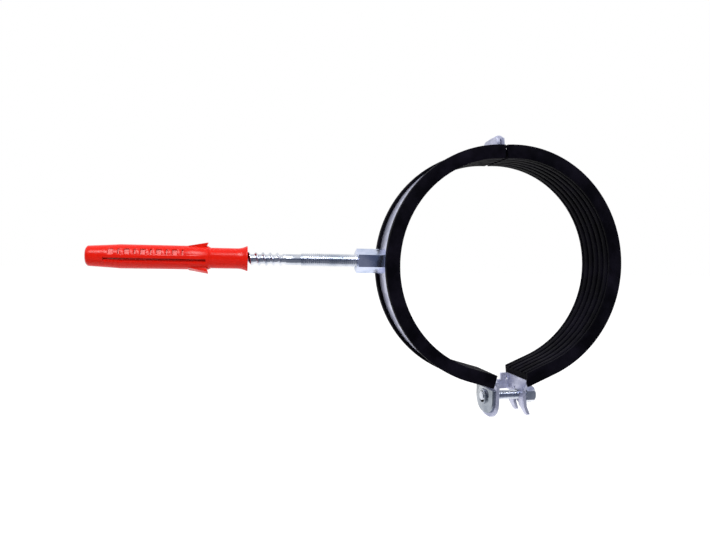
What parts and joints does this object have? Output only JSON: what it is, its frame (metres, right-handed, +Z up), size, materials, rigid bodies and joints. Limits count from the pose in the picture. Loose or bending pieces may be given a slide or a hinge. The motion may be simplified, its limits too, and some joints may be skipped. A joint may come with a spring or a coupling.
{
  "type": "rubber lined pipe clamp",
  "caption": "Hinged steel pipe clamp with ribbed rubber lining, a screw closure with an open fork ear, and a hanger bolt in a nylon wall plug.",
  "frame": {"origin": "centre of the pipe seat on its axis, midway along the band's width", "axes": "+Y along the pipe, -X towards the wall, +Z up; hinge at the top and closing screw at the bottom"},
  "size_m": [0.3272, 0.0302, 0.1804],
  "materials": {
    "zinc": "bright zinc plated strip",
    "zinc_nut": "bright zinc plated nut",
    "zinc_screw": "bright zinc plated fastener",
    "lining": "satin black rubber",
    "plug": "glossy red nylon"
  },
  "bodies": {
    "plug": {"wall_plug": "plug"},
    "bolt": {"hanger_bolt": "zinc_screw"},
    "left_half": {"left_band": "zinc", "left_lining": "lining", "connection_nut": "zinc_nut", "nut_plate": "zinc"},
    "right_half": {"right_band": "zinc", "right_lining": "lining", "screw_washer": "zinc_screw"},
    "screw": {"closing_screw": "zinc_screw"}
  },
  "joints": [
    {"name": "bolt_drive", "type": "slide", "parent": "plug", "child": "bolt", "axis": [-1, 0, 0], "range_m": [-0.045, 0.03]},
    {"name": "clamp_turn", "type": "hinge", "parent": "bolt", "child": "left_half", "pos_m": [-0.08, 0, 0.0016], "axis": [1, 0, 0], "continuous": true},
    {"name": "clamp_hinge", "type": "hinge", "parent": "left_half", "child": "right_half", "pos_m": [0, 0, 0.079], "axis": [0, -1, 0], "range_deg": [-6, 50]},
    {"name": "screw_turn", "type": "hinge", "parent": "right_half", "child": "screw", "pos_m": [0.02, 0, -0.0843], "axis": [1, 0, 0], "continuous": true}
  ]
}
